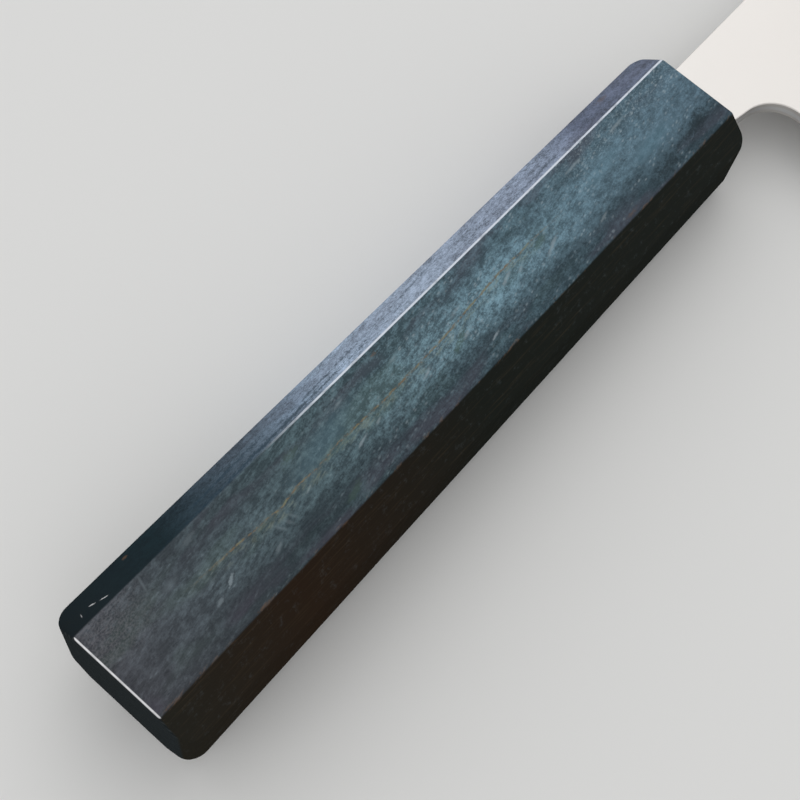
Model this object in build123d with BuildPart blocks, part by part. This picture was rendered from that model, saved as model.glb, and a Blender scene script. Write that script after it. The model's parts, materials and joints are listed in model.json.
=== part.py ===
from build123d import *
import os

os.makedirs("parts", exist_ok=True)

# A nakiri, the square-ended vegetable knife, with a one-piece eight-sided wooden handle.
# Each piece is drawn along the knife's own axes: X from the butt to the tip, Y towards the
# spine and Z out of the right side, all from the middle of the handle's front end.
# At the end the pieces are laid on the table, where the knife rests on its left side.

# Handle, from flat to flat at each end
handle_length = 125.7
butt_height = 25.5
butt_thickness = 21.8
butt_bevel = 5.1
mouth_height = 22.2
mouth_thickness = 17.9
mouth_bevel = 4.2
butt_corner_radius = 3.0
mouth_corner_radius = 2.3
butt_edge_round = 0.7
mouth_edge_round = 0.6

# Blade, seen from the side
blade_length = 165.0
blade_height = 50.0
spine_rise = 6.0
tip_lean = 1.2
tip_corner_radius = 11.0
toe_run = 46.0
toe_lift = 1.3
toe_radius = 3.0
belly_radius = 900.0
heel_lean = 0.6
heel_radius = 0.8

# Neck, the bare steel between the handle and the heel
neck_length = 12.6
neck_height = 12.0
neck_flare = 2.1
choil_radius = 6.4

# Blade, seen from the end
neck_thickness = 3.4
heel_thickness = 3.1
tip_thickness = 2.7
shinogi_height = 20.0
shinogi_thinning = 0.95
edge_thickness = 0.24
cutting_bevel_height = 0.55
edge_land = 0.06
core_thickness = 0.9

# Tang, the steel inside the handle
tang_length = 96.0
tang_step_depth = 7.0
tang_root_height = 10.4
tang_end_height = 6.0
tang_end_thickness = 2.2
tang_corner_radius = 1.2

# Hollow of the handle, and what fills it
bedding_gap = 0.8
hollow_beyond_tang = 4.0
seal_depth = 1.6
seal_margin = 1.0
seal_corner_radius = 1.6

# One overrun for every cut
overrun = 5.0

spine_y = spine_rise
edge_y = spine_y - blade_height
neck_y = spine_y - neck_height
neck_centre_y = spine_y - neck_height / 2
shinogi_y = edge_y + shinogi_height
heel_x = neck_length
tip_x = heel_x + blade_length

# The planes that the right side of the blade is ground to. The broad side thins from the
# spine to the grinding line, and from the heel to the tip.
side_fall = (heel_thickness - tip_thickness) / 2 / blade_length
side_lean = shinogi_thinning / 2 / (spine_y - shinogi_y)
side_plane = Plane((heel_x, spine_y, heel_thickness / 2), z_dir=(side_fall, -side_lean, 1))

# Below the grinding line the wide bevel goes down to the edge, and a fine steep one cuts.
# Both are ground in two strokes: along the straight edge, and along the slight rise at the toe.
shinogi_thickness = heel_thickness - shinogi_thinning
wide_slope = (shinogi_thickness - edge_thickness) / 2 / shinogi_height
cutting_slope = wide_slope + (edge_thickness - edge_land) / 2 / cutting_bevel_height
toe_start_x = tip_x - toe_run
bevel_planes = [
    Plane((start_x, edge_y, thickness / 2), z_dir=(slope * rise, -slope, 1))
    for thickness, slope in ((edge_thickness, wide_slope), (edge_land, cutting_slope))
    for start_x, rise in ((heel_x, 0), (toe_start_x, toe_lift / toe_run))
]

# The tang thins towards its end
tang_fall = (neck_thickness - tang_end_thickness) / 2 / tang_length
tang_plane = Plane((0, 0, neck_thickness / 2), z_dir=(-tang_fall, 0, 1))

right_planes = [side_plane, tang_plane] + bevel_planes
left_planes = [
    Plane((p.origin.X, p.origin.Y, -p.origin.Z), z_dir=(p.z_dir.X, p.z_dir.Y, -p.z_dir.Z))
    for p in right_planes
]

# The outline that the three layers of the blade share, each corner with its radius
tang_root_top = neck_centre_y + tang_root_height / 2
tang_root_bottom = neck_centre_y - tang_root_height / 2
outline_corners = [
    ((-tang_length, neck_centre_y - tang_end_height / 2), tang_corner_radius),
    ((-tang_length, neck_centre_y + tang_end_height / 2), tang_corner_radius),
    ((-tang_step_depth, tang_root_top), 0),
    ((-tang_step_depth, spine_y), 0),
    ((tip_x - tip_lean, spine_y), tip_corner_radius),
    ((tip_x, edge_y + toe_lift), toe_radius),
    ((toe_start_x, edge_y), belly_radius),
    ((heel_x + heel_lean, edge_y), heel_radius),
    ((heel_x, neck_y - neck_flare), choil_radius),
    ((0, neck_y), 0),
    ((-tang_step_depth, neck_y), 0),
    ((-tang_step_depth, tang_root_bottom), 0),
]
with BuildSketch() as blade_outline:
    with BuildLine():
        FilletPolyline(
            [point for point, radius in outline_corners],
            radius=[radius for point, radius in outline_corners],
            close=True,
        )
    make_face()


# One layer of the blade, from one height to another through its thickness
def blade_layer(low, high):
    with BuildSketch(Plane.XY.offset(low)) as flat_layer:
        add(blade_outline.sketch)
    extrude(flat_layer.sketch, amount=high - low)
    for ground in right_planes + left_planes:
        split(bisect_by=ground, keep=Keep.BOTTOM)


# Hard steel in the middle, bare along the edge
with BuildPart() as core_steel:
    blade_layer(-core_thickness / 2, core_thickness / 2)

# Softer steel on each side
with BuildPart() as cladding_right:
    blade_layer(core_thickness / 2, neck_thickness / 2)

with BuildPart() as cladding_left:
    blade_layer(-neck_thickness / 2, -core_thickness / 2)


# A long outline that tapers from one end to the other, each end with a radius on its corners
def tapered_outline(view, ends, widths, radii, centre=0):
    with BuildSketch(view) as outline:
        with BuildLine():
            FilletPolyline(
                (ends[0], centre - widths[0] / 2),
                (ends[0], centre + widths[0] / 2),
                (ends[1], centre + widths[1] / 2),
                (ends[1], centre - widths[1] / 2),
                radius=[radii[0], radii[0], radii[1], radii[1]],
                close=True,
            )
        make_face()
    return outline.sketch


# The tapered hollow that the tang is set in, with room for the resin on every side
hollow_ends = (-tang_length - hollow_beyond_tang, -seal_depth)
hollow_heights = (tang_end_height + 2 * bedding_gap, neck_height + 2 * bedding_gap)
hollow_widths = (tang_end_thickness + 2 * bedding_gap, neck_thickness + 2 * bedding_gap)
hollow_plan = tapered_outline(Plane.XY, hollow_ends, hollow_heights, (0, 0), neck_centre_y)
hollow_side = tapered_outline(Plane.XZ, hollow_ends, hollow_widths, (0, 0))
with BuildPart() as tang_hollow:
    extrude(hollow_plan, amount=neck_height, both=True)
    extrude(hollow_side, amount=neck_height, both=True, mode=Mode.INTERSECT)

# The shallow pocket in the handle's front end, round the neck
with BuildSketch(Plane.YZ.offset(-seal_depth)) as seal_outline:
    with Locations((neck_centre_y, 0)):
        RectangleRounded(
            neck_height + 2 * (bedding_gap + seal_margin),
            neck_thickness + 2 * (bedding_gap + seal_margin),
            seal_corner_radius,
        )

# One block of wood, thicker at the butt. Its ends are rounded more from spine to edge than
# from side to side, and four bevels give it eight sides.
handle_ends = (-handle_length, 0)
handle_plan = tapered_outline(
    Plane.XY, handle_ends, (butt_height, mouth_height), (butt_corner_radius, mouth_corner_radius)
)
handle_side = tapered_outline(
    Plane.XZ, handle_ends, (butt_thickness, mouth_thickness), (butt_edge_round, mouth_edge_round)
)
ridge_rise = (mouth_height / 2 - mouth_bevel) - (butt_height / 2 - butt_bevel)
flat_rise = (mouth_thickness - butt_thickness) / 2
with BuildPart() as handle_body:
    extrude(handle_plan, amount=butt_height, both=True)
    extrude(handle_side, amount=butt_height, both=True, mode=Mode.INTERSECT)
    for spine_side in (1, -1):
        for right_side in (1, -1):
            ridge_y = spine_side * (mouth_height / 2 - mouth_bevel)
            ridge_end = Vector(0, ridge_y, right_side * mouth_thickness / 2)
            along = Vector(handle_length, spine_side * ridge_rise, right_side * flat_rise)
            across = Vector(0, spine_side, -right_side)
            outward = along.cross(across) * spine_side * right_side
            split(bisect_by=Plane(ridge_end, z_dir=outward), keep=Keep.BOTTOM)
    add(tang_hollow.part, mode=Mode.SUBTRACT)
    extrude(seal_outline.sketch, amount=seal_depth + overrun, mode=Mode.SUBTRACT)

# Cured resin between the tang and the wood
with BuildPart() as tang_bedding:
    add(tang_hollow.part)
    for layer in (core_steel, cladding_right, cladding_left):
        add(layer.part, mode=Mode.SUBTRACT)

# A thin plug that closes the hollow round the neck, flush with the rounded end
with BuildPart() as mouth_seal:
    extrude(seal_outline.sketch, amount=seal_depth)
    extrude(handle_plan, amount=butt_height, both=True, mode=Mode.INTERSECT)
    for layer in (core_steel, cladding_right, cladding_left):
        add(layer.part, mode=Mode.SUBTRACT)

pieces = {
    "core_steel": core_steel,
    "cladding_right": cladding_right,
    "cladding_left": cladding_left,
    "handle_body": handle_body,
    "tang_bedding": tang_bedding,
    "mouth_seal": mouth_seal,
}

# The knife rests on three points of its left side: a ridge at the handle's front end, and at
# the tip the top of the square end and the grinding line. The table is the plane through them.
tip_half = tip_thickness / 2
grinding_line_height = (tip_half - side_lean * (blade_height - toe_lift) - edge_thickness / 2) / (
    wide_slope - side_lean
)
resting_points = [
    Vector(-mouth_edge_round, mouth_bevel - mouth_height / 2, -mouth_thickness / 2),
    Vector(
        tip_x,
        edge_y + toe_lift + grinding_line_height,
        -edge_thickness / 2 - wide_slope * grinding_line_height,
    ),
    Vector(tip_x - tip_lean, spine_y - tip_corner_radius, side_lean * tip_corner_radius - tip_half),
]
up = (resting_points[1] - resting_points[0]).cross(resting_points[2] - resting_points[0])
table = Plane(resting_points[0], x_dir=(1, 0, 0), z_dir=up)
laid_down = table.location.inverse()
knife_box = Compound([piece.part.moved(laid_down) for piece in pieces.values()]).bounding_box()
middle = knife_box.center()
rest = Location((-middle.X, -middle.Y, -knife_box.min.Z)) * laid_down

for name, piece in pieces.items():
    laid_piece = piece.part.moved(rest)
    laid_piece.label = name
    export_step(laid_piece, f"parts/{name}.step")
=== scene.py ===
import json
import math

import bmesh
import bpy
from mathutils import Matrix, Vector


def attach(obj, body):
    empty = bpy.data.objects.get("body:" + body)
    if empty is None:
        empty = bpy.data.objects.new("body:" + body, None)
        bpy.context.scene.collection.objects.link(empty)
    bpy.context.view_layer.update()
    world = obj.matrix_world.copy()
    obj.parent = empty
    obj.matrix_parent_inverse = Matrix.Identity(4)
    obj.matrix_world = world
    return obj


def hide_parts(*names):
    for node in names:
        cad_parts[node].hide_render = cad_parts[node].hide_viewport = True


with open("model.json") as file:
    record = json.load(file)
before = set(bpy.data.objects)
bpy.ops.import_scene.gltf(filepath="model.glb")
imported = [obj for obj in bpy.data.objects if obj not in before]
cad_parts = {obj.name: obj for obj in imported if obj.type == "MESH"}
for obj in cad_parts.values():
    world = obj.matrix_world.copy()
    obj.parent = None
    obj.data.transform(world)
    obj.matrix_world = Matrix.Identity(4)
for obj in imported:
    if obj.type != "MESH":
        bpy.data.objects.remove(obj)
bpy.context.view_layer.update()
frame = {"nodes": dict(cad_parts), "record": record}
print("frame loaded:", ", ".join(sorted(frame["nodes"])))

mm = 0.001
quarterTurn = math.pi / 2

# The handle, in millimetres: the sizes that its solid has, and how its hand finish departs from them
handle = {
    "Length": 125.7,
    "Butt Height": 25.5,
    "Butt Thickness": 21.8,
    "Butt Bevel": 5.1,
    "Front Height": 22.2,
    "Front Thickness": 17.9,
    "Front Bevel": 4.2,
    "Butt Corner Radius": 3.0,
    "Front Corner Radius": 2.3,
    "Butt Edge Round": 0.7,
    "Front Edge Round": 0.6,
    "Ridge Round": 0.6,
    "Ridge Wear": 0.35,  # how far a ridge's rounding varies, as a share of it
    "Ridge Wear Rate": 0.08,  # and how often, per millimetre
    "Flat Waviness": 0.05,
    "Flat Waviness Rate": 0.05,
}

# The knife's own axes, read from the mounts: forward to the tip, up to the spine, out of the right side
mounts = {mount["name"]: mount for mount in frame["record"]["mounts"]}
forward = -Vector(mounts["butt_face"]["axis"])
bothSides = Vector(mounts["handle_right_flat"]["axis"]) - Vector(mounts["handle_left_flat"]["axis"])
outRight = bothSides.normalized()
spineward = outRight.cross(forward).normalized()
knifeAxes = Matrix((forward, spineward, outRight)).transposed()
handleFront = Vector(mounts["butt_face"]["pos_m"]) + forward * handle["Length"] * mm
knifeToRow = Matrix.Translation(handleFront) @ knifeAxes.to_4x4() @ Matrix.Scale(mm, 4)
knifeTurn = knifeAxes.to_euler()


class Wire:
    # A node's output, so that sums on it are written as sums
    def __init__(self, tree, socket=None):
        self.tree = tree
        self.socket = socket

    def node(self, kind, settings, sockets, out=0):
        made = self.tree.nodes.new(kind)
        for name, choice in settings.items():
            if name == "stops":
                ramp = made.color_ramp
                while len(ramp.elements) < len(choice):
                    ramp.elements.new(1.0)
                for element, (place, colour) in zip(ramp.elements, choice):
                    element.position = place
                    element.color = (*colour, 1.0)
            else:
                setattr(made, name, choice)
        for name, value in sockets.items():
            if isinstance(value, Wire):
                self.tree.links.new(value.socket, made.inputs[name])
            else:
                made.inputs[name].default_value = value
        return Wire(self.tree, made.outputs[out] if made.outputs else None)

    def maths(self, operation, first, second=0.0):
        return self.node("ShaderNodeMath", {"operation": operation}, {0: first, 1: second})

    def __add__(self, other):
        return self.maths("ADD", self, other)

    def __radd__(self, other):
        return self.maths("ADD", other, self)

    def __sub__(self, other):
        return self.maths("SUBTRACT", self, other)

    def __rsub__(self, other):
        return self.maths("SUBTRACT", other, self)

    def __mul__(self, other):
        return self.maths("MULTIPLY", self, other)

    def __rmul__(self, other):
        return self.maths("MULTIPLY", other, self)

    def __truediv__(self, other):
        return self.maths("DIVIDE", self, other)

    def __rtruediv__(self, other):
        return self.maths("DIVIDE", other, self)

    def __neg__(self):
        return self.maths("MULTIPLY", self, -1.0)

    def __abs__(self):
        return self.maths("ABSOLUTE", self)

    def least(self, other):
        return self.maths("MINIMUM", self, other)

    def most(self, other):
        return self.maths("MAXIMUM", self, other)

    def over(self, other):
        return self.maths("GREATER_THAN", self, other)

    def rootOf(self):
        return self.maths("SQRT", self)

    def sine(self):
        return self.maths("SINE", self)

    def cosine(self):
        return self.maths("COSINE", self)

    def fade(self, low, high):
        # 0 below low and 1 above high, with soft ends; low may be the larger of the two
        return self.node("ShaderNodeMapRange", {"interpolation_type": "SMOOTHSTEP"},
                         {"Value": self, "From Min": low, "From Max": high})

    def progress(self, start, steps):
        return self.node("ShaderNodeMapRange", {}, {
            "Value": self, "From Min": start, "From Max": start + steps})

    def parts(self):
        split = self.node("ShaderNodeSeparateXYZ", {}, {"Vector": self})
        return [Wire(self.tree, output) for output in split.socket.node.outputs]

    def vector(self, x, y, z):
        return self.node("ShaderNodeCombineXYZ", {}, {"X": x, "Y": y, "Z": z})

    def noise(self, detail=2.0, roughness=0.5, scale=1.0):
        return self.node("ShaderNodeTexNoise", {}, {
            "Vector": self, "Scale": scale, "Detail": detail, "Roughness": roughness})

    def cells(self, chosen, middle, rim):
        # Spots at the middles of random cells, of which only a share is chosen
        spots = self.node("ShaderNodeTexVoronoi", {}, {"Vector": self, "Scale": 1.0})
        pick = Wire(self.tree, spots.socket.node.outputs["Color"]).parts()[0]
        return (1.0 - spots.fade(middle, rim)) * (pick.over(1.0 - chosen))

    def ramp(self, stops):
        return self.node("ShaderNodeValToRGB", {"stops": stops}, {"Fac": self})


def mixed(mask, first, second):
    first, second = ((*end, 1.0) if isinstance(end, tuple) else end for end in (first, second))
    return mask.node("ShaderNodeMix", {"data_type": "RGBA"}, {0: mask, 6: first, 7: second}, out=2)


def between(mask, atNone, atFull):
    # A value that follows a mask from one amount to another
    return mask * (atFull - atNone) + atNone


# The tang's hollow and the seal's pocket, in the handle's front end
socket = {
    "Pocket Depth": 1.6,
    "Pocket Height": 15.6,
    "Pocket Thickness": 7.0,
    "Pocket Corner": 1.6,
    "Hollow End": 100.0,
    "Hollow Front Height": 13.6,
    "Hollow Front Thickness": 5.0,
    "Hollow End Height": 7.6,
    "Hollow End Thickness": 3.8,
    "Overrun": 3.0,  # how far the pocket's cutter stands out of the front
}

# How finely the handle's skin is divided. Its rings run from the middle of the butt to that of the front
handleMesh = {
    "rings": {
        "buttCap": 3,
        "buttRound": 6,
        "buttShoulder": 4,
        "shaft": 70,
        "frontShoulder": 14,
        "frontRound": 7,
        "frontCap": 3,
    },
    "sides": 8,
    "arcSteps": 6,
    "flatSteps": 8,
    "pocketArcSteps": 6,
    "ridgeShift": 7.3,  # keeps each ridge's wear, and each flat's waves, unlike the next one's
    "flatShift": 3.1,
    "waveDetail": 3.0,
    "mergeWithin": 0.0005,
    "sharpAngle": 40.0,
}


def drop(radius, distance):
    # How far a rounded corner has fallen back at this distance from the end
    gap = (radius - distance).most(0.0)
    return radius - (radius * radius - gap * gap).most(0.0).rootOf()


def handleSkin(start, size):
    ringSteps = handleMesh["rings"]
    arcSteps = handleMesh["arcSteps"]
    flatSteps = handleMesh["flatSteps"]
    rings = sum(ringSteps.values()) + 1
    sideSteps = arcSteps + flatSteps
    around = handleMesh["sides"] * sideSteps
    grid = start.node("GeometryNodeMeshGrid", {}, {
        "Size X": rings - 1.0, "Size Y": float(around), "Vertices X": rings, "Vertices Y": around + 1})
    gridX, gridY = start.node("GeometryNodeInputPosition", {}, {}).parts()[:2]
    ring = start.maths("ROUND", gridX + (rings - 1) / 2)
    turn = start.maths("ROUND", gridY + around / 2)

    # How far each stretch of rings has come, from 0 to 1
    done = {}
    first = 0
    for stretch, steps in ringSteps.items():
        done[stretch] = ring.progress(float(first), float(steps))
        first += steps

    buttTurn = done["buttRound"] * quarterTurn
    frontTurn = done["frontRound"] * quarterTurn
    shaftLength = size["Length"] - size["Butt Corner Radius"] - size["Front Corner Radius"]
    fromButt = (
        size["Butt Edge Round"] * (1.0 - buttTurn.cosine())
        + (size["Butt Corner Radius"] - size["Butt Edge Round"]) * done["buttShoulder"]
        + shaftLength * done["shaft"]
        + (size["Front Corner Radius"] - size["Front Edge Round"]) * done["frontShoulder"]
        + size["Front Edge Round"] * frontTurn.sine()
    )
    x = fromButt - size["Length"]
    share = fromButt / size["Length"]
    buttPull = size["Butt Edge Round"] * (1.0 - buttTurn.sine())
    frontPull = size["Front Edge Round"] * (1.0 - frontTurn.cosine())
    pulledIn = buttPull + frontPull

    def tapered(name):
        return size["Butt " + name] + (size["Front " + name] - size["Butt " + name]) * share

    halfHeight = tapered("Height") / 2.0
    halfThickness = tapered("Thickness") / 2.0
    bevelSum = halfHeight + halfThickness - tapered("Bevel") - pulledIn * math.sqrt(2)
    cornerDrop = drop(size["Butt Corner Radius"], fromButt) + drop(size["Front Corner Radius"], -x)
    halfHeight = halfHeight - cornerDrop
    halfThickness = halfThickness - pulledIn

    side = start.maths("FLOOR", turn / float(sideSteps))
    step = turn - side * float(sideSteps)
    arcShare = step.progress(0.0, float(arcSteps))
    # Eased twice, so that the points of a flat gather beside its ridges
    flatShare = step.progress(float(arcSteps), float(flatSteps)).fade(0.0, 1.0).fade(0.0, 1.0)
    eighth = math.tau / handleMesh["sides"]
    facing = (side + arcShare) * eighth

    # Ridges are rounded unevenly by hand
    wear = start.vector(x * size["Ridge Wear Rate"], side * handleMesh["ridgeShift"], 0.0).noise() - 0.5
    ridgeRound = size["Ridge Round"] * (1.0 + size["Ridge Wear"] * wear * 2.0)
    innerHeight = halfHeight - ridgeRound
    innerThickness = halfThickness - ridgeRound
    innerSum = bevelSum - ridgeRound * math.sqrt(2)

    def corner(which):
        angle = (which + 0.5) * eighth
        across = angle.cosine()
        out = angle.sine()
        atSpine = abs(across).over(abs(out))
        reachY = atSpine * innerHeight + (1.0 - atSpine) * (innerSum - innerThickness).least(innerHeight)
        reachZ = atSpine * (innerSum - innerHeight).least(innerThickness) + (1.0 - atSpine) * innerThickness
        return start.maths("SIGN", across) * reachY, start.maths("SIGN", out) * reachZ

    hereY, hereZ = corner(side)
    nextY, nextZ = corner(side + 1.0)
    waves = start.vector(x * size["Flat Waviness Rate"], side * handleMesh["flatShift"], flatShare)
    reach = ridgeRound - waves.noise(handleMesh["waveDetail"]) * size["Flat Waviness"]
    capShare = done["buttCap"] * (1.0 - done["frontCap"])
    y = (hereY + (nextY - hereY) * flatShare + reach * facing.cosine()) * capShare
    z = (hereZ + (nextZ - hereZ) * flatShare + reach * facing.sine()) * capShare
    placed = start.node("GeometryNodeSetPosition", {}, {"Geometry": grid, "Position": start.vector(x, y, z)})
    return start.node("GeometryNodeMergeByDistance", {}, {
        "Geometry": placed, "Distance": handleMesh["mergeWithin"]})


def socketCutter(start, size):
    # The seal's pocket is a rounded prism along the knife, and the hollow a tapered box behind it
    outline = start.node("GeometryNodeCurvePrimitiveQuadrilateral", {}, {
        "Width": size["Pocket Height"], "Height": size["Pocket Thickness"]})
    rounded = start.node("GeometryNodeFilletCurve", {"mode": "POLY"}, {
        "Curve": outline, "Count": handleMesh["pocketArcSteps"], "Radius": size["Pocket Corner"]})
    line = start.node("GeometryNodeCurvePrimitiveLine", {}, {
        "Start": start.vector(-size["Pocket Depth"], 0.0, 0.0),
        "End": start.vector(size["Overrun"], 0.0, 0.0)})
    pocket = start.node("GeometryNodeCurveToMesh", {}, {
        "Curve": line, "Profile Curve": rounded, "Fill Caps": True})

    block = start.node("GeometryNodeMeshCube", {}, {"Size": (1.0, 1.0, 1.0)})
    blockX, blockY, blockZ = start.node("GeometryNodeInputPosition", {}, {}).parts()
    forwardShare = blockX + 0.5

    def tapered(name):
        atEnd = size["Hollow End " + name]
        return atEnd + (size["Hollow Front " + name] - atEnd) * forwardShare

    # The hollow starts inside the pocket, so that the two cuts run into each other
    hollowFront = -size["Pocket Depth"] / 2.0
    hollowX = hollowFront * forwardShare - size["Hollow End"] * (1.0 - forwardShare)
    shaped = start.vector(hollowX, blockY * tapered("Height"), blockZ * tapered("Thickness"))
    hollow = start.node("GeometryNodeSetPosition", {}, {"Geometry": block, "Position": shaped})
    return pocket, hollow


def newTree(name, values):
    tree = bpy.data.node_groups.new(name, "GeometryNodeTree")
    tree.interface.new_socket("Geometry", in_out="OUTPUT", socket_type="NodeSocketGeometry")
    kinds = {float: "NodeSocketFloat", bpy.types.Material: "NodeSocketMaterial"}
    identifiers = {}
    for label, value in values.items():
        item = tree.interface.new_socket(label, in_out="INPUT", socket_type=kinds[type(value)])
        identifiers[label] = item.identifier
    entry = tree.nodes.new("NodeGroupInput")
    wires = {label: Wire(tree, entry.outputs[label]) for label in values}
    return tree, wires, identifiers


def grown(name, tree, values, identifiers):
    # The plain mesh that a geometry tree makes with these values, turned from knife axes to the frame's
    carrier = bpy.data.objects.new(name + "_carrier", bpy.data.meshes.new(name + "_seed"))
    bpy.context.scene.collection.objects.link(carrier)
    modifier = carrier.modifiers.new("shape", "NODES")
    modifier.node_group = tree
    for label, value in values.items():
        modifier[identifiers[label]] = value
    graph = bpy.context.evaluated_depsgraph_get()
    mesh = bpy.data.meshes.new_from_object(carrier.evaluated_get(graph), depsgraph=graph)
    bpy.data.objects.remove(carrier)
    return placedPiece(name, mesh)


def placedPiece(name, mesh):
    mesh.name = name
    mesh.transform(knifeToRow)
    piece = bpy.data.objects.new(name, mesh)
    bpy.context.scene.collection.objects.link(piece)
    return piece


def makeHandle(material):
    values = {**handle, **socket, "Finish": material}
    tree, size, identifiers = newTree("eight sided handle", values)
    start = Wire(tree)
    carved = handleSkin(start, size)
    for cutter in socketCutter(start, size):
        carved = start.node("GeometryNodeMeshBoolean", {"operation": "DIFFERENCE", "solver": "EXACT"}, {
            "Mesh 1": carved, "Mesh 2": cutter})
    real = start.node("GeometryNodeRealizeInstances", {}, {"Geometry": carved})
    painted = start.node("GeometryNodeSetMaterial", {}, {"Geometry": real, "Material": size["Finish"]})
    exitNode = tree.nodes.new("NodeGroupOutput")
    tree.links.new(painted.socket, exitNode.inputs[0])
    piece = grown("wooden_handle", tree, values, identifiers)
    piece.data.shade_smooth()
    piece.data.set_sharp_from_angle(angle=math.radians(handleMesh["sharpAngle"]))
    return piece


# Every material works in millimetres along the knife's own axes
def newMaterial(name):
    material = bpy.data.materials.new(name)
    material.use_nodes = True
    material.node_tree.nodes.clear()
    start = Wire(material.node_tree)
    place = start.node("ShaderNodeTexCoord", {}, {}, out="Object")
    knifePlace = start.node("ShaderNodeMapping", {"vector_type": "TEXTURE"}, {
        "Vector": place, "Location": handleFront, "Rotation": knifeTurn, "Scale": (mm, mm, mm)})
    return material, start, knifePlace


def finishMaterial(start, sockets, height=None):
    # A height is in millimetres
    if height is not None:
        sockets["Normal"] = start.node("ShaderNodeBump", {}, {
            "Height": height, "Strength": 1.0, "Distance": mm})
    shader = start.node("ShaderNodeBsdfPrincipled", {}, sockets)
    start.node("ShaderNodeOutputMaterial", {}, {"Surface": shader})


# The dyed wood's tones. Stops run from the butt, 0, to the front, 1
wood = {
    "deepDye": ((0.0, (0.034, 0.036, 0.042)), (0.25, (0.020, 0.031, 0.038)), (0.6, (0.021, 0.038, 0.048)),
                (1.0, (0.023, 0.039, 0.050))),
    "paleDye": ((0.0, (0.172, 0.190, 0.222)), (0.3, (0.195, 0.307, 0.345)), (0.6, (0.209, 0.352, 0.432)),
                (1.0, (0.198, 0.327, 0.425))),
    # How pale the dye is above, along and below the heart line
    "paleness": ((0.0, (0.27, 0.13, 0.20)), (0.15, (0.15, 0.28, 0.08)), (0.3, (0.23, 0.25, 0.07)),
                 (0.45, (0.24, 0.42, 0.10)), (0.62, (0.29, 0.57, 0.12)), (0.8, (0.30, 0.43, 0.10)),
                 (1.0, (0.37, 0.38, 0.08))),
    # spineSide: painted light on the spine-side bevel, a pale lavender highlight along the middle and painted
    # shade towards both ends, darkest at the butt
    "spineSide": ((0.0, (0.013, 0.017, 0.019)), (0.14, (0.016, 0.030, 0.037)), (0.20, (0.044, 0.069, 0.091)),
                  (0.30, (0.115, 0.164, 0.220)), (0.36, (0.225, 0.308, 0.420)), (0.42, (0.400, 0.515, 0.680)),
                  (0.55, (0.380, 0.470, 0.615)), (0.72, (0.345, 0.420, 0.565)), (0.79, (0.360, 0.445, 0.610)),
                  (0.86, (0.125, 0.155, 0.245)), (1.0, (0.145, 0.182, 0.278))),
    # edgeSide: the edge-side bevel's dark brown, partly the wood's own tone and partly painted shade
    "edgeSide": ((0.0, (0.0211, 0.0201, 0.0161)), (0.2, (0.0247, 0.0158, 0.0105)),
                 (0.5, (0.0140, 0.0160, 0.0137)), (1.0, (0.0168, 0.0192, 0.0171))),
    "mauve": (0.068, 0.060, 0.084),
    "green": (0.080, 0.135, 0.105),
    "blue": (0.130, 0.250, 0.320),
    "fleck": (0.34, 0.41, 0.45),
    # pebbleSheen: a painted sheen, pale grey patches at the butt
    "pebbleSheen": (0.150, 0.146, 0.158),
    "pore": (0.012, 0.018, 0.022),
    "shade": (0.026, 0.050, 0.074),
    "tan": (0.180, 0.125, 0.070),
    "yellow": (0.190, 0.200, 0.130),
    # ridgeHighlight: a painted highlight along the spine's ridge
    "ridgeHighlight": (0.62, 0.67, 0.76),
    # buttGlintAndScratch: a painted highlight along the butt's rim, also the tone of the pale scratches near
    # the butt
    "buttGlintAndScratch": (0.88, 0.88, 0.90),
    "warmWear": (0.150, 0.090, 0.055),
    "endGrain": (0.016, 0.020, 0.022),
    "endRing": (0.034, 0.040, 0.042),
}

# Fields of the wood: what is measured, where the field begins and where it is full. Along is a share of
# the length from the butt, and the rest is in millimetres
woodFields = {
    "spineSide": ("pastSpineRidge", -0.05, 0.35),
    "edgeSide": ("pastEdgeRidge", -0.10, 0.20),
    "rightSide": ("right", -1.0, 1.0),
    "ends": ("fromEnd", 0.28, 0.06),
    "aboveHeart": ("up", 2.2, 5.2),
    "belowHeart": ("up", -0.9, -4.6),
    "lowerGrain": ("up", 0.9, -0.7),
    "outer": ("off", 3.4, 6.6),
    "fineGrain": ("along", 0.20, 0.50),
    "calmGrain": ("along", 0.48, 0.86),
    "greenish": ("along", 0.78, 0.60),
    "specked": ("along", 0.26, 0.48),
    "front": ("along", 0.70, 0.86),
    "besideSpine": ("up", 2.4, 4.6),
    "buttEnd": ("along", 0.11, 0.04),
    "upperHalf": ("up", -1.0, 4.0),
    "heartStarts": ("along", 0.10, 0.20),
    "heartStops": ("along", 0.76, 0.64),
    "mauveSpine": ("along", 0.14, 0.34),
    "glossySpine": ("along", 0.16, 0.40),
    "ridgeHighlightStarts": ("along", 0.26, 0.40),
    "ridgeHighlightLower": ("pastSpineRidge", -0.14, -0.04),
    "ridgeHighlightUpper": ("pastSpineRidge", 0.34, 0.20),
    "nearRidge": ("fromRidge", 0.50, 0.10),
    "lowerHalf": ("up", 0.0, -1.0),
    "glintRimEnd": ("fromButt", 0.38, 0.24),
    "glintRimSide": ("underSide", 0.50, 0.28),
}

# Its patterns: how much they lean, a feature's length and height, detail and roughness
woodGrains = {
    "upperStreak": (0.14, 2.3, 0.60, 3.0, 0.65),
    "lowerStreak": (0.20, 2.1, 0.55, 3.0, 0.65),
    "cloud": (0.12, 9.0, 3.0, 3.0, 0.50),
    "mottle": (0.12, 1.5, 1.1, 4.0, 0.80),
    "speckle": (0.10, 0.34, 0.25, 2.0, 0.60),
    "hairline": (0.0, 9.0, 0.26, 3.0, 0.70),
    "drift": (0.05, 15.0, 4.0, 2.0, 0.50),
    "ragged": (0.0, 2.4, 1.3, 3.0, 0.60),
}

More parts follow.
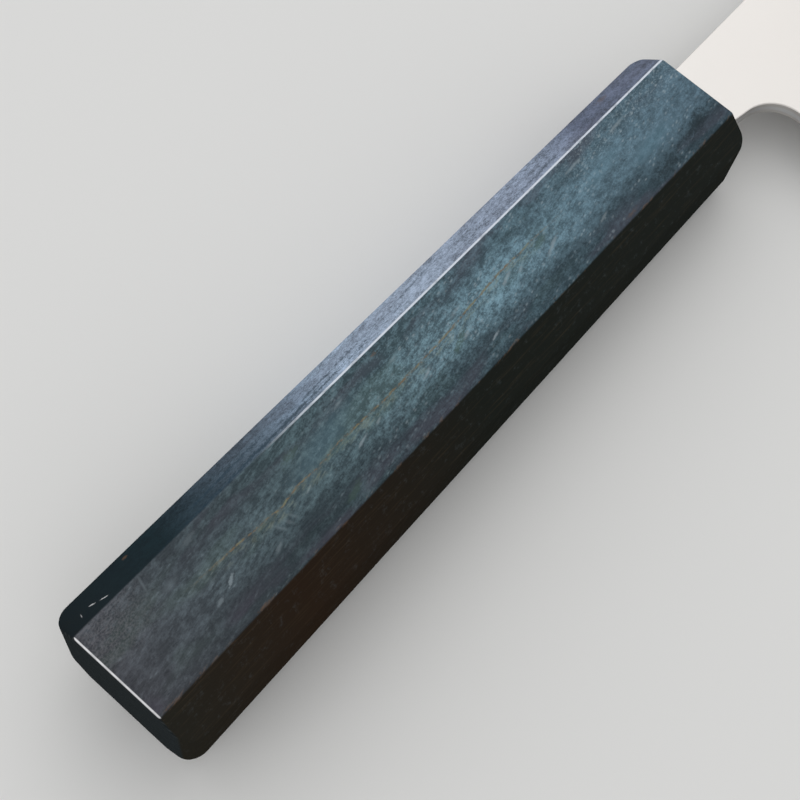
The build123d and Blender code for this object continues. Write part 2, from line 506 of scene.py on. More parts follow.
# Its spots: lean, a cell's length and height, the share of cells chosen, and a spot's middle and rim
woodSpots = {
    "sparkle": (0.20, 0.95, 0.42, 0.30, 0.12, 0.50),
    "flecks": (0.10, 0.95, 0.34, 0.12, 0.10, 0.55),
    "pores": (0.0, 1.7, 0.30, 0.20, 0.05, 0.40),
}

# Its tints: a pattern, where in it the tint begins and is full, the most that shows, and the tone
woodTints = {
    "mauveDrift": ("drift", 0.47, 0.62, 0.40, "mauve"),
    "greenDrift": ("drift", 0.52, 0.38, 0.16, "green"),
    "streakFlecks": ("streak", 0.44, 0.60, 0.16, "fleck"),
    "frontSpecks": ("speckle", 0.50, 0.70, 0.30, "fleck"),
    "pebbles": ("speckle", 0.36, 0.70, 0.42, "pebbleSheen"),
    "pebbleGaps": ("speckle", 0.44, 0.32, 0.12, "pore"),
    "spineDrift": ("drift", 0.48, 0.62, 0.16, "mauve"),
    "edgeHairs": ("hairline", 0.52, 0.70, 0.07, "tan"),
    "edgeSheen": ("mottle", 0.54, 0.75, 0.05, "fleck"),
    "heartGlow": ("streak", 0.46, 0.64, 0.38, "yellow"),
}

# How far each pattern swings a value about its middle
woodSwings = {
    "quiet": {"speckle": 0.16, "hairline": 0.26},
    "clouds": {"cloud": 0.42},
    "spineSide": {"mottle": 1.7, "speckle": 1.2, "cloud": 0.9},
    "torn": {"mottle": 1.8, "streak": 1.2, "speckle": 1.5},
    "sheen": {"speckle": 0.8, "mottle": 1.2},
    "relief": {"hairline": 0.010, "streak": 0.014, "mottle": 0.020, "speckle": 0.006},
}

# Where in a pattern, or on the way to a mark's middle, other things begin and are full
woodFades = {
    "sparkleCloud": (0.40, 0.60),
    "spineHairs": (0.45, 0.32),
    "mark": (1.05, 0.15),
    "ridgeHighlightRagged": (0.34, 0.52),
    "warmStreaks": (0.52, 0.64),
    "warmRagged": (0.44, 0.60),
    "glintRimRagged": (0.30, 0.60),
}

# How strong things are, as shares. A pair is the share without and with what it follows
woodShares = {
    "paleKept": 0.96,
    "quietKept": 0.46,  # the least that the patterns leave of the paleness
    "lively": (0.24, 1.84),
    "calm": (1.30, 0.75),
    "fine": (0.26, 0.76),
    "streak": 0.95,
    "mottle": (1.0, 1.9),
    "leastMauve": 0.075,
    "pores": 0.30,
    "sparkle": 0.34,
    "spineSide": 0.64,
    "spineLeast": 0.25,
    "spineHair": 0.10,
    "ridgeHighlightStrip": (0.55, 1.0),
    "warm": 0.45,
    "rim": (0.75, 1.0),
}

# Its finish: gloss and roughness as shares, depths in millimetres
woodFinish = {
    "gloss": 0.14,
    "spineGloss": 0.40,
    "roughness": (0.36, 0.56),
    "glintStripsSmoother": 0.12,
    "coatRoughness": 0.20,
    "poreDepth": 0.022,
    "pebbleHeight": 0.04,
}

# Marks that the wood shows on its right side: place, turn in degrees, length, width and strength, by tone
woodMarks = {
    "blue": (
        (-13.0, -1.0, 4, 13.0, 3.00, 0.32),
        (-22.0, 1.6, 9, 12.0, 2.20, 0.20),
        (-84.0, 2.4, 10, 17.0, 4.40, 0.16),
    ),
    "green": (
        (-85.9, -5.5, 18, 4.4, 1.40, 0.30),
        (-59.0, -1.4, 20, 5.0, 1.20, 0.40),
        (-88.4, 4.4, 10, 5.0, 1.60, 0.30),
        (-39.0, 0.4, 16, 5.0, 1.20, 0.35),
    ),
    "pore": (
        (-99.8, -1.4, 28, 3.0, 0.60, 0.45),
        (-6.0, -4.0, 12, 9.0, 2.80, 0.50),
        (-14.5, -5.4, 8, 10.0, 2.20, 0.40),
    ),
    "shade": (
        (-86.0, 8.3, 1, 46.0, 0.90, 0.80),
        (-76.0, 9.4, 2, 26.0, 0.60, 0.55),
        (-95.0, 9.6, 1, 22.0, 0.70, 0.55),
        (-31.0, 8.2, 1, 20.0, 0.60, 0.50),
        (-55.0, 10.3, 3, 14.0, 0.60, 0.40),
    ),
    "fleck": (
        (-106.3, -1.8, 33, 2.6, 0.60, 0.45),
        (-109.4, -2.8, 22, 2.2, 0.70, 0.28),
        (-98.7, -3.4, 24, 2.8, 0.70, 0.20),
        (-89.9, -0.7, 20, 2.0, 0.50, 0.34),
        (-79.9, -1.4, 14, 3.2, 0.50, 0.45),
        (-76.0, -1.0, 20, 1.8, 0.50, 0.35),
        (-65.9, -1.2, 22, 2.6, 0.55, 0.38),
        (-57.0, -1.2, 18, 3.0, 0.60, 0.40),
        (-46.6, 0.2, 20, 3.8, 0.65, 0.42),
        (-44.0, -0.3, 25, 2.2, 0.60, 0.34),
        (-37.8, -1.3, 22, 4.8, 0.70, 0.42),
        (-54.7, -4.5, 16, 2.6, 0.50, 0.50),
        (-106.2, 6.2, 8, 3.4, 1.20, 0.14),
        (-112.2, 3.6, 10, 3.0, 1.40, 0.10),
        (-77.9, 4.8, 9, 2.8, 0.60, 0.25),
        (-67.5, 3.8, 9, 2.6, 0.60, 0.25),
        (-55.7, 2.2, 10, 3.2, 0.60, 0.25),
        (-25.1, 5.0, 2, 5.0, 0.60, 0.34),
        (-14.6, 4.8, 4, 5.6, 0.60, 0.36),
        (-28.7, -3.8, 14, 2.6, 0.55, 0.30),
        (-114.5, 6.4, 74, 3.4, 0.50, 0.12),
        (-96.6, -1.6, 118, 2.8, 0.65, 0.15),
        (-95.3, -1.7, 118, 2.6, 0.60, 0.14),
        (-94.1, -1.8, 118, 2.4, 0.60, 0.12),
    ),
    "warmWear": (
        (-25.1, -6.4, 3, 3.6, 0.70, 0.35),
        (-105.8, -7.4, 1, 3.4, 0.55, 0.40),
        (-112.9, 11.6, 10, 1.0, 0.60, 0.50),
        (-69.0, 6.2, 6, 2.0, 0.60, 0.45),
        (-10.8, 10.0, 4, 3.6, 1.10, 0.25),
    ),
    # Pale scratches near the butt: partly real scratches, partly painted glints
    "buttGlintAndScratch": (
        (-122.6, 9.6, 70, 0.9, 0.26, 0.40),
        (-120.6, 9.6, -22, 1.2, 0.26, 0.55),
        (-119.0, 9.0, -18, 1.9, 0.26, 0.60),
    ),
}


def woodMasks(place):
    # The place along the handle, and each field of the wood as a mask
    x, y, z = place.parts()
    share = x / -handle["Length"]

    def tapered(name):
        return share * (handle["Butt " + name] - handle["Front " + name]) + handle["Front " + name]

    halfThickness = tapered("Thickness") / 2.0
    ridgeY = tapered("Height") / 2.0 - tapered("Bevel")
    gapY = abs(y) - ridgeY
    gapZ = abs(z) - halfThickness
    fromButt = x + handle["Length"]
    measures = {
        "along": 1.0 - share,
        "up": y,
        "off": abs(y),
        "right": z,
        "pastSpineRidge": y - ridgeY,
        "pastEdgeRidge": -y - ridgeY,
        "fromRidge": (gapY * gapY + gapZ * gapZ).rootOf(),
        "underSide": halfThickness - abs(z),
        "fromButt": fromButt,
        "fromEnd": fromButt.least(-x),
    }
    masks = {name: measures[what].fade(begins, full) for name, (what, begins, full) in woodFields.items()}
    return measures["along"], masks


def woodFigure(start, place, masks):
    # The wood's patterns and spots, each about 0 to 1. Above the heart line it leans less than below it
    x, y, z = place.parts()

    def grain(lean, length, height):
        return start.vector(x / length, (y - x * lean) / height, z / height)

    figure = {}
    for name, (lean, length, height, detail, roughness) in woodGrains.items():
        figure[name] = grain(lean, length, height).noise(detail, roughness)
    for name, (lean, length, height, chosen, middle, rim) in woodSpots.items():
        figure[name] = grain(lean, length, height).cells(chosen, middle, rim)
    upper = figure["upperStreak"]
    figure["streak"] = upper + (figure["lowerStreak"] - upper) * masks["lowerGrain"]
    return figure


def swing(figure, shares):
    # The sum of some patterns about their middles, each times its share
    return sum((figure[name] - 0.5) * share for name, share in shares.items())


def tinted(colour, name, figure, where=1.0):
    # A colour with one of the tints over it, inside a mask
    pattern, begins, full, share, tone = woodTints[name]
    return mixed(figure[pattern].fade(begins, full) * share * where, colour, wood[tone])


def broadSides(along, masks, figure):
    # Deep dye, paler along the middle and where the figure flares up
    above, middle, below = along.ramp(wood["paleness"]).parts()
    pale = middle + (above - middle) * masks["aboveHeart"] + (below - middle) * masks["belowHeart"]
    quiet = pale * woodShares["quietKept"] + swing(figure, woodSwings["quiet"])
    lively = between(pale, *woodShares["lively"]) * between(masks["calmGrain"], *woodShares["calm"])
    fine = between(masks["fineGrain"], *woodShares["fine"])
    shares = {"streak": woodShares["streak"], "mottle": between(fine, *woodShares["mottle"]), "speckle": fine}
    play = swing(figure, shares) * lively + swing(figure, woodSwings["clouds"])
    pale = (pale * woodShares["paleKept"] + play).most(quiet)
    colour = mixed(pale, along.ramp(wood["deepDye"]), along.ramp(wood["paleDye"]))
    outer = masks["outer"]
    colour = tinted(colour, "mauveDrift", figure, outer + woodShares["leastMauve"])
    colour = tinted(colour, "greenDrift", figure, (1.0 - outer) * masks["greenish"])
    colour = mixed(figure["pores"] * woodShares["pores"], colour, wood["pore"])
    colour = tinted(colour, "streakFlecks", figure, figure["flecks"])

    # Fine light dashes in the pale wood, most of all at the front beside the spine's ridge
    frontTop = masks["front"] * masks["besideSpine"]
    specked = masks["specked"] * figure["cloud"].fade(*woodFades["sparkleCloud"])
    colour = mixed(figure["sparkle"] * (specked + frontTop) * woodShares["sparkle"], colour, wood["fleck"])
    colour = tinted(colour, "frontSpecks", figure, frontTop)

    # Painted sheen at the butt: pale grey pebbly patches over the upper half, with dark gaps
    pebbled = masks["buttEnd"] * masks["upperHalf"]
    colour = tinted(colour, "pebbles", figure, pebbled)
    return tinted(colour, "pebbleGaps", figure, pebbled), pebbled


# The thin warm line along the heart of the right side, in millimetres, and its dashes, as shares
heart = {
    "course": ((0.10, 1.6), (0.15, 1.2), (0.20, 0.8), (0.25, 0.2), (0.28, 0.8), (0.31, 0.4), (0.34, 0.9),
               (0.42, 0.5), (0.52, 0.7), (0.63, 1.6), (0.75, 1.3)),
    "lowest": -1.0,  # the ramp that holds the course runs from the lowest height to the highest
    "highest": 3.0,
    "wander": 0.6,
    "wanderLength": 2.4,
    "wanderRow": 3.0,  # where in the noise the wander and the dashes are cut, its detail and roughness
    "wanderNoise": (3.0, 0.60),
    "dashRow": 9.0,
    "dashNoise": (3.0, 0.65),
    "dashLength": 1.9,
    "dashHeight": 0.9,
    "lineFade": (0.24, 0.05),
    "glowDrop": 0.6,
    "glowFade": (1.3, 0.1),
    "yellowDashes": (0.54, 0.62),
    "dashMiddle": 0.48,
    "dashFade": (0.02, 0.08),
    "present": (0.12, 0.82),
}


def heartLine(start, place, along, masks, figure, colour):
    # A line that follows its course, broken by paler dashes, with a glow below it
    x, y = place.parts()[:2]
    span = heart["highest"] - heart["lowest"]
    heights = tuple((at, ((height - heart["lowest"]) / span,) * 3) for at, height in heart["course"])
    course = along.ramp(heights).parts()[0] * span + heart["lowest"]
    wanderPlace = start.vector(x / heart["wanderLength"], heart["wanderRow"], 0.0)
    wander = (wanderPlace.noise(*heart["wanderNoise"]) - 0.5) * heart["wander"]
    gap = y - course - wander
    dashPlace = start.vector(x / heart["dashLength"], heart["dashRow"], y / heart["dashHeight"])
    broken = dashPlace.noise(*heart["dashNoise"])
    shown = masks["rightSide"] * masks["heartStarts"] * masks["heartStops"]
    glow = abs(gap + heart["glowDrop"]).fade(*heart["glowFade"]) * shown
    colour = tinted(colour, "heartGlow", figure, glow)
    line = mixed(broken.fade(*heart["yellowDashes"]), wood["tan"], wood["yellow"])
    dashes = abs(broken - heart["dashMiddle"]).fade(*heart["dashFade"])
    present = between(dashes, *heart["present"])
    return mixed(abs(gap).fade(*heart["lineFade"]) * present * shown, colour, line)


def bevelColours(along, masks, figure, colour):
    # The spine side carries a painted highlight, pale lavender along its middle, and painted shade, darkest
    # at the butt; the edge side is dark brown, partly its own tone and partly painted shade. Both show fine
    # straight lines
    dark = figure["hairline"].fade(*woodFades["spineHairs"]) * woodShares["spineHair"]
    light = swing(figure, woodSwings["spineSide"]) + woodShares["spineSide"]
    spineShare = (light - dark).most(woodShares["spineLeast"])
    # A mottled painted highlight over the spine side, with painted shade where its ramp is dark
    spineWithPaintedLight = mixed(spineShare, wood["pore"], along.ramp(wood["spineSide"]))
    spineWithPaintedLight = tinted(spineWithPaintedLight, "spineDrift", figure, masks["mauveSpine"])
    colour = mixed(masks["spineSide"], colour, spineWithPaintedLight)
    # Edge side: dark brown, partly its own tone and partly painted shade
    edgeWithPaintedShade = tinted(along.ramp(wood["edgeSide"]), "edgeHairs", figure)
    edgeWithPaintedShade = tinted(edgeWithPaintedShade, "edgeSheen", figure)
    return mixed(masks["edgeSide"], colour, edgeWithPaintedShade)


def markMask(start, place, mark, torn):
    x, y, turn, length, width, strength = mark
    centred = start.node("ShaderNodeMapping", {"vector_type": "TEXTURE"}, {
        "Vector": place, "Location": (x, y, 0.0), "Rotation": (0.0, 0.0, math.radians(turn)),
        "Scale": (length / 2, width / 2, 1.0)})
    flat = start.node("ShaderNodeVectorMath", {"operation": "MULTIPLY"}, {0: centred, 1: (1.0, 1.0, 0.0)})
    reach = start.node("ShaderNodeVectorMath", {"operation": "LENGTH"}, {0: flat}, out="Value")
    return (reach + torn).fade(*woodFades["mark"]) * strength


def ownMarks(start, place, masks, figure, colour):
    # Marks of this one piece of wood, with torn outlines
    torn = swing(figure, woodSwings["torn"])
    for tone, marks in woodMarks.items():
        strongest = markMask(start, place, marks[0], torn)
        for mark in marks[1:]:
            strongest = strongest.most(markMask(start, place, mark, torn))
        colour = mixed(strongest * masks["rightSide"], colour, wood[tone])
    return colour


# The end grain, in millimetres: the pith that its rings turn round lies outside the handle
endGrain = {
    "pithY": -9.0,
    "pithZ": 21.0,
    "ringGap": 1.1,
    "wobble": 0.8,
    "ringFade": (-0.2, 0.9),
    "poreSize": 0.35,
    "pores": (0.5, 0.1, 0.35),
    "poreShare": 0.6,
}


def woodEnds(start, place, masks, figure, colour):
    # End grain on the butt and on the front
    y, z = place.parts()[1:]
    fromY = y - endGrain["pithY"]
    fromZ = z - endGrain["pithZ"]
    rings = (fromY * fromY + fromZ * fromZ).rootOf() + (figure["mottle"] - 0.5) * endGrain["wobble"]
    ringLine = (rings * (math.tau / endGrain["ringGap"])).sine().fade(*endGrain["ringFade"])
    poreSize = endGrain["poreSize"]
    endPores = start.vector(0.0, y / poreSize, z / poreSize).cells(*endGrain["pores"])
    endColour = mixed(ringLine, wood["endGrain"], wood["endRing"])
    endColour = mixed(endPores * endGrain["poreShare"], endColour, wood["pore"])
    return mixed(masks["ends"], colour, endColour)


def woodMaterial():
    material, start, place = newMaterial("dyed_wood")
    along, masks = woodMasks(place)
    figure = woodFigure(start, place, masks)
    colour, pebbled = broadSides(along, masks, figure)
    colour = heartLine(start, place, along, masks, figure, colour)
    colour = bevelColours(along, masks, figure, colour)
    colour = ownMarks(start, place, masks, figure, colour)

    # Painted highlights: a pale strip along the spine's ridge and a pale rim at the butt, both also made
    # glossier. Real wear: warm specks along the edge's ridge
    ragged = figure["ragged"]
    # The painted highlight along the spine's ridge, with ragged ends
    paintedRidgeHighlight = masks["ridgeHighlightLower"] * masks["ridgeHighlightUpper"] * masks["ridgeHighlightStarts"]
    paintedRidgeHighlight = paintedRidgeHighlight * between(ragged.fade(*woodFades["ridgeHighlightRagged"]), *woodShares["ridgeHighlightStrip"])
    colour = mixed(paintedRidgeHighlight, colour, wood["ridgeHighlight"])
    warm = masks["nearRidge"] * masks["lowerHalf"] * figure["streak"].fade(*woodFades["warmStreaks"])
    warm = warm * ragged.fade(*woodFades["warmRagged"]) * woodShares["warm"]
    colour = mixed(warm, colour, wood["warmWear"])
    colour = woodEnds(start, place, masks, figure, colour)
    # A painted highlight: a near-white rim along the butt's edge on both flats
    rim = masks["glintRimEnd"] * masks["glintRimSide"] * (1.0 - masks["edgeSide"]) * (1.0 - masks["spineSide"])
    glintRimShare = between(ragged.fade(*woodFades["glintRimRagged"]), *woodShares["rim"])
    colour = mixed(rim * glintRimShare, colour, wood["buttGlintAndScratch"])

    pebbles = (figure["speckle"] - 0.5) * pebbled * woodFinish["pebbleHeight"]
    height = swing(figure, woodSwings["relief"]) - figure["pores"] * woodFinish["poreDepth"] + pebbles
    paintedGlintStrips = rim.most(paintedRidgeHighlight)
    sheen = swing(figure, woodSwings["sheen"]) + 1.0
    matt = masks["edgeSide"].most(masks["spineSide"]).most(masks["ends"])
    spineGloss = masks["spineSide"] * masks["glossySpine"] * woodFinish["spineGloss"]
    gloss = spineGloss + woodFinish["gloss"] * (1.0 - matt)
    roughness = between(figure["mottle"], *woodFinish["roughness"])
    finishMaterial(start, {
        "Base Color": colour,
        "Roughness": roughness - paintedGlintStrips * woodFinish["glintStripsSmoother"],
        "Coat Weight": (gloss * sheen + paintedGlintStrips).most(0.0).least(1.0),
        "Coat Roughness": woodFinish["coatRoughness"],
        "Specular IOR Level": 0.0,
    }, height)
    return material


# The blade's steels, in millimetres: a satin flat, a hazy wide bevel, and the hard core along the edge
steel = {
    "satin": (0.570, 0.550, 0.533),
    "satinDeep": (0.520, 0.500, 0.484),
    "haze": (0.460, 0.458, 0.455),
    "hazeDeep": (0.395, 0.396, 0.398),
    "hard": (0.620, 0.622, 0.630),
    "hardDeep": (0.560, 0.564, 0.575),
    "grindStart": (12.6, -24.0),
    "grindFall": 0.038,
    "grindBlend": 0.15,
    "edgeY": -44.0,
    "coreShows": 6.9,
    "weldWave": 1.5,
    "weldWaveLength": 6.0,
    "weldWaveRow": 2.0,  # where in the noise the wave is cut, and how far off for the right side
    "rightSideShift": 5.0,
    "weldWaveNoise": (4.0, 0.6),
    "weldBlend": (-0.10, 0.14),
    "weldLineRise": 0.25,
    "weldLineFade": (0.32, 0.02),
    "weldLineShare": 0.35,
    "lineShares": {"satin": 0.5, "haze": 0.4, "hard": 0.6},  # the rest of a tone's change is cloud
    "satinRoughness": 0.24,
    "hazeRoughness": 0.36,
    "hardRoughness": 0.17,
    "lineRoughness": 0.10,
    "cloudRoughness": 0.06,
    "lineDepth": 0.0022,
}

# What the grinding and the stones left: a feature's size along each axis, detail and roughness
steelPatterns = {
    "across": (0.11, 7.0, 0.6, 3.0, 0.65),
    "lengthwise": (10.0, 0.10, 0.6, 3.0, 0.65),
    "cloud": (13.0, 8.0, 3.0, 4.0, 0.50),
}


def steelMaterial(name, clad):
    material, start, place = newMaterial(name)
    x, y, z = place.parts()
    patterns = {}
    for pattern, (length, height, thickness, detail, roughness) in steelPatterns.items():
        patterns[pattern] = start.vector(x / length, y / height, z / thickness).noise(detail, roughness)
    across = patterns["across"]
    cloud = patterns["cloud"]
    grindX, grindHeight = steel["grindStart"]
    grindY = grindHeight - (x - grindX) * steel["grindFall"]
    ground = (grindY - y).fade(-steel["grindBlend"], steel["grindBlend"])
    lines = across + (patterns["lengthwise"] - across) * ground

    def tone(kind):
        lineShare = steel["lineShares"][kind]
        return mixed(lines * lineShare + cloud * (1.0 - lineShare), steel[kind + "Deep"], steel[kind])

    colour = tone("hard")
    rough = steel["hardRoughness"]
    if clad:
        # The cladding is satin, hazy where it is ground, and gone where the core comes through
        sideShift = z.over(0.0) * steel["rightSideShift"]
        wavePlace = start.vector(x / steel["weldWaveLength"], steel["weldWaveRow"], sideShift)
        wave = wavePlace.noise(*steel["weldWaveNoise"])
        weldY = wave * steel["weldWave"] + (steel["edgeY"] + steel["coreShows"])
        through = (weldY - y).fade(*steel["weldBlend"]) * ground
        weldLine = abs(y - weldY - steel["weldLineRise"]).fade(*steel["weldLineFade"])
        cladColour = mixed(ground, tone("satin"), tone("haze"))
        cladColour = mixed(weldLine * ground * steel["weldLineShare"], cladColour, steel["hazeDeep"])
        colour = mixed(through, cladColour, colour)
        rough = between(ground, steel["satinRoughness"], steel["hazeRoughness"])
        rough = rough + through * (steel["hardRoughness"] - steel["hazeRoughness"])
    finishMaterial(start, {
        "Base Color": colour,
        "Metallic": 1.0,
        "Roughness": rough + (lines - 0.5) * steel["lineRoughness"] + (cloud - 0.5) * steel["cloudRoughness"],
    }, (lines - 0.5) * steel["lineDepth"])
    return material


# Blade: the easing that a stone gives the spine, the neck and the square end, in millimetres and degrees
blade = {
    "mergeWithin": 0.0005,
    "flatWithin": 0.3,
    "easedWidth": 0.18,
    "easedSteps": 3,
    "fromX": -7.5,  # nothing is eased further back, inside the handle
    "outerFace": 0.8,
    "broadFacing": 0.99,  # how squarely a broad face looks sideways, and at most a wall
    "wallFacing": 0.2,
    "sharpAngle": 20.0,
}


def easedLayer(name, nodeName, material):
    mesh = frame["nodes"][nodeName].data.copy()
    mesh.transform(knifeToRow.inverted())
    work = bmesh.new()
    work.from_mesh(mesh)
    bmesh.ops.remove_doubles(work, verts=work.verts, dist=blade["mergeWithin"])
    flatAngle = math.radians(blade["flatWithin"])
    bmesh.ops.dissolve_limit(work, angle_limit=flatAngle, verts=work.verts, edges=work.edges)
    weight = work.edges.layers.float.new("bevel_weight_edge")
    for edge in work.edges:
        broad = [face for face in edge.link_faces
                 if abs(face.normal.z) > blade["broadFacing"]
                 and abs(face.calc_center_median().z) > blade["outerFace"]]
        walls = [face for face in edge.link_faces if abs(face.normal.z) < blade["wallFacing"]]
        outside = min(vert.co.x for vert in edge.verts) > blade["fromX"]
        if len(broad) == 1 and len(walls) == 1 and outside:
            edge[weight] = 1.0
    work.to_mesh(mesh)
    work.free()
    mesh.materials.clear()
    mesh.materials.append(material)
    mesh.shade_smooth()
    mesh.set_sharp_from_angle(angle=math.radians(blade["sharpAngle"]))
    carrier = bpy.data.objects.new(name + "_carrier", mesh)
    bpy.context.scene.collection.objects.link(carrier)
    easing = carrier.modifiers.new("eased edges", "BEVEL")
    easing.limit_method = "WEIGHT"
    easing.width = blade["easedWidth"]
    easing.segments = blade["easedSteps"]
    shading = carrier.modifiers.new("even shading", "WEIGHTED_NORMAL")
    shading.keep_sharp = True
    graph = bpy.context.evaluated_depsgraph_get()
    eased = bpy.data.meshes.new_from_object(carrier.evaluated_get(graph), depsgraph=graph)
    bpy.data.objects.remove(carrier)
    return placedPiece(name, eased)


# Seal: resin that fills the pocket round the neck and creeps a little way up the steel
seal = {
    "rimDrop": 0.12,
    "rise": 0.30,
    "curl": 4,  # the higher, the closer to the steel the resin rises
    "neckHeight": 12.0,
    "neckThickness": 3.13,
    "neckLean": 0.0158,
    "neckCorner": 0.25,
    "intoSteel": 0.03,
    "cornerSteps": 7,
    "straightSteps": 8,
    "surfaceSteps": 9,
    "sharpAngle": 40.0,
}


def roundedOutline(height, thickness, corner):
    # Points round a rectangle with rounded corners, as many for any size
    ways = ((1, 1), (-1, 1), (-1, -1), (1, -1))
    halfY = height / 2 - corner
    halfZ = thickness / 2 - corner
    centres = [Vector((signY * halfY, signZ * halfZ)) for signY, signZ in ways]

    def onArc(index, turns):
        angle = turns * quarterTurn
        return centres[index % 4] + corner * Vector((math.cos(angle), math.sin(angle)))

    points = []
    for index in range(4):
        for step in range(seal["cornerSteps"] + 1):
            points.append(onArc(index, index + step / seal["cornerSteps"]))
        near = points[-1]
        far = onArc(index + 1, index + 1)
        for step in range(1, seal["straightSteps"]):
            points.append(near.lerp(far, step / seal["straightSteps"]))
    return points


def makeSeal(material):
    outer = roundedOutline(socket["Pocket Height"], socket["Pocket Thickness"], socket["Pocket Corner"])
    neckHeight = seal["neckHeight"]
    neckHalf = seal["neckThickness"] / 2
    intoSteel = seal["intoSteel"]
    inner = roundedOutline(neckHeight - 2 * intoSteel, seal["neckThickness"], seal["neckCorner"])
    # The neck is thinner towards the edge, and so is the seal's inside
    for point in inner:
        thinned = neckHalf - intoSteel - seal["neckLean"] * (neckHeight / 2 - point.x)
        point.y *= thinned / neckHalf
    depth = -socket["Pocket Depth"]
    steps = seal["surfaceSteps"]
    rings = [(depth, 0.0)]
    for step in range(steps + 1):
        share = step / steps
        curled = share ** seal["curl"]
        rings.append((seal["rise"] * curled - seal["rimDrop"] * (1.0 - curled), share))
    rings.append((depth, 1.0))
    work = bmesh.new()
    made = []
    for x, share in rings:
        made.append([work.verts.new((x, *near.lerp(far, share))) for near, far in zip(outer, inner)])
    made.append(made[0])
    for here, after in zip(made, made[1:]):
        for index in range(len(here)):
            following = (index + 1) % len(here)
            work.faces.new((here[index], here[following], after[following], after[index]))
    bmesh.ops.recalc_face_normals(work, faces=work.faces)
    mesh = bpy.data.meshes.new("neck_seal")
    work.to_mesh(mesh)
    work.free()
    mesh.materials.append(material)
    mesh.shade_smooth()
    mesh.set_sharp_from_angle(angle=math.radians(seal["sharpAngle"]))
    return placedPiece("neck_seal", mesh)


# Resins: two tones each, how large the mottling is in millimetres, and their roughness
resins = {
    "dark_resin": {
        "tones": ((0.030, 0.030, 0.034), (0.060, 0.058, 0.060)),
        "mottle": 1.4,
        "roughness": 0.30,
    },
    "amber_resin": {
        "tones": ((0.200, 0.140, 0.070), (0.340, 0.260, 0.150)),
        "mottle": 3.0,
        "roughness": 0.36,
    },
}
resinFinish = {
    "mottleNoise": (4.0, 0.6),
    "mottleFade": (0.3, 0.7),
    "bubblesPerMm": (1.6, 1.6, 1.6),
    "bubbles": (0.12, 0.10, 0.22),
    "bubbleShare": 0.6,
    "mottleRoughness": 0.2,
    "mottleHeight": 0.04,
    "bubbleDepth": 0.05,
}


def resinMaterial(name):
    values = resins[name]
    deep = values["tones"][0]
    material, start, place = newMaterial(name)
    mottled = place.noise(*resinFinish["mottleNoise"], 1.0 / values["mottle"])
    smaller = start.node("ShaderNodeMapping", {}, {"Vector": place, "Scale": resinFinish["bubblesPerMm"]})
    bubbles = smaller.cells(*resinFinish["bubbles"])
    colour = mixed(mottled.fade(*resinFinish["mottleFade"]), *values["tones"])
    finishMaterial(start, {
        "Base Color": mixed(bubbles * resinFinish["bubbleShare"], colour, deep),
        "Roughness": mottled * resinFinish["mottleRoughness"] + values["roughness"],
    }, (mottled - 0.5) * resinFinish["mottleHeight"] - bubbles * resinFinish["bubbleDepth"])
    return material


# Where the photograph was taken from, in the knife's own axes, and how the camera was turned
camera = {
    "place": (-147.12, -43.79, 219.12),
    "turn": (-11.54, 19.49, 45.83),
    "lens": 73.26,
    "sensor": 36.0,
    "nearest": 0.01,
    "furthest": 50.0,
}


def makeCamera():
    data = bpy.data.cameras.new("photo_camera")
    data.lens = camera["lens"]
    data.sensor_width = camera["sensor"]
    data.clip_start = camera["nearest"]
    data.clip_end = camera["furthest"]
    holder = bpy.data.objects.new("photo_camera", data)
    bpy.context.scene.collection.objects.link(holder)
    fromKnife = Matrix.Identity(3)
    for angle, axis in zip(camera["turn"], "XYZ"):
        fromKnife = Matrix.Rotation(math.radians(angle), 3, axis) @ fromKnife
    rotation = (knifeAxes @ fromKnife.transposed()).to_4x4()
    holder.matrix_world = Matrix.Translation(knifeToRow @ Vector(camera["place"])) @ rotation
    bpy.context.scene.camera = holder


# The studio: each softbox's direction, distance, width, height and radiance, then the room and the floor
studio = {
    "key_softbox": ((0.40, 0.78, 0.50), 2.6, 4.20, 2.60, 0.52),
    "top_softbox": ((0.45, 0.10, 0.90), 2.6, 2.00, 2.00, 0.60),
    "butt_softbox": ((-0.78, 0.20, 0.62), 2.4, 1.20, 1.80, 0.52),
}
room = {
    "middle": (-0.06, 0.015, 0.01),
    "fill": 0.68,
    "backdrop": (0.94, 0.94, 0.93),
    "floorColour": (0.78, 0.78, 0.77),
    "floorSize": 8.0,
    "floorRoughness": 0.8,
}


def softbox(name, toward, distance, width, height, radiance):
    lamp = bpy.data.lights.new(name, "AREA")
    lamp.shape = "RECTANGLE"
    lamp.size = width
    lamp.size_y = height
    lamp.energy = radiance * math.pi * width * height
    box = bpy.data.objects.new(name, lamp)
    direction = Vector(toward).normalized()
    box.location = Vector(room["middle"]) + direction * distance
    box.rotation_euler = direction.to_track_quat("Z", "Y").to_euler()
    bpy.context.scene.collection.objects.link(box)


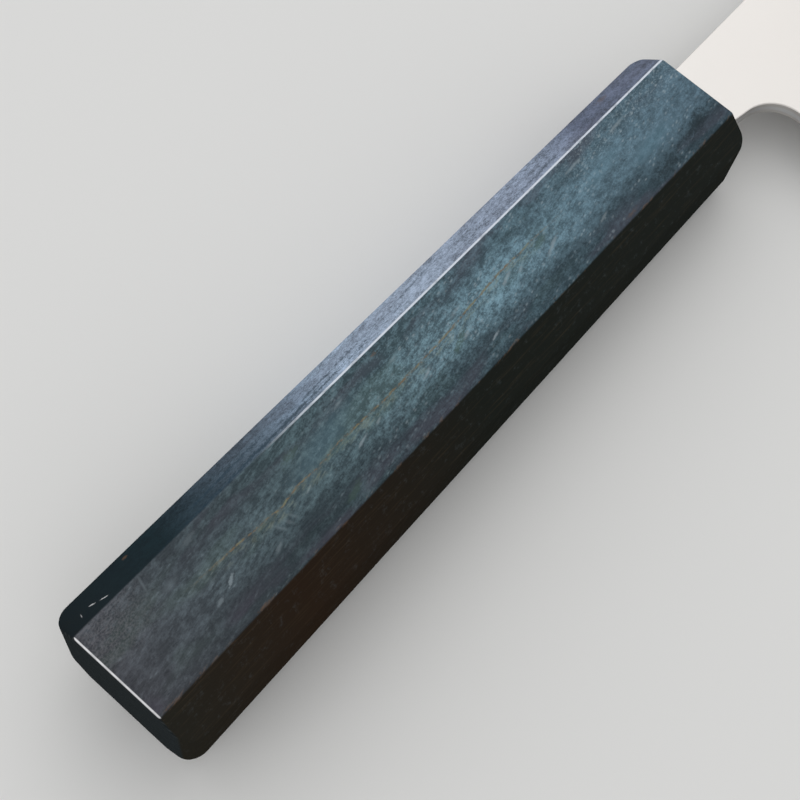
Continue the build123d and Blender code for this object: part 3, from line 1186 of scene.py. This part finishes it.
def makeStudio():
    world = bpy.data.worlds.new("studio")
    bpy.context.scene.world = world
    world.use_nodes = True
    world.node_tree.nodes.clear()
    start = Wire(world.node_tree)
    fill = start.node("ShaderNodeBackground", {}, {"Color": (1.0, 1.0, 1.0, 1.0), "Strength": room["fill"]})
    backdrop = start.node("ShaderNodeBackground", {}, {"Color": (*room["backdrop"], 1.0), "Strength": 1.0})
    shown = 0.0
    for name in ("Is Camera Ray", "Is Glossy Ray", "Is Transmission Ray"):
        shown = start.node("ShaderNodeLightPath", {}, {}, out=name).most(shown)
    both = start.node("ShaderNodeMixShader", {}, {0: shown, 1: fill, 2: backdrop})
    start.node("ShaderNodeOutputWorld", {}, {"Surface": both})
    for name, values in studio.items():
        softbox(name, *values)

    bpy.ops.mesh.primitive_plane_add(size=room["floorSize"], location=(0, 0, 0))
    floor = bpy.context.object
    floor.name = "floor"
    material, start = newMaterial("pale_floor")[:2]
    finishMaterial(start, {
        "Base Color": (*room["floorColour"], 1.0),
        "Roughness": room["floorRoughness"],
        "Specular IOR Level": 0.0,
    })
    floor.data.materials.append(material)


def standFor(nodeName, piece):
    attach(piece, "root")
    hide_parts(nodeName)


makeCamera()
makeStudio()
bpy.context.scene.view_settings.view_transform = "Standard"
print("camera and studio set")

handlePiece = makeHandle(woodMaterial())
standFor("handle_body", handlePiece)
print("handle:", len(handlePiece.data.polygons), "faces")

claddingSteel = steelMaterial("satin_cladding_steel", True)
coreSteel = steelMaterial("polished_core_steel", False)
for nodeName, name, material, slot in (
    ("cladding_right", "right_cladding", claddingSteel, "cladding_steel"),
    ("cladding_left", "left_cladding", claddingSteel, "cladding_steel"),
    ("core_steel", "blade_core", coreSteel, "core_steel"),
):
    layer = easedLayer(name, nodeName, material)
    standFor(nodeName, layer)
    print(name + ":", len(layer.data.polygons), "faces")

standFor("mouth_seal", makeSeal(resinMaterial("dark_resin")))
frame["nodes"]["tang_bedding"].data.materials[0] = resinMaterial("amber_resin")
print("seal and bedding done")
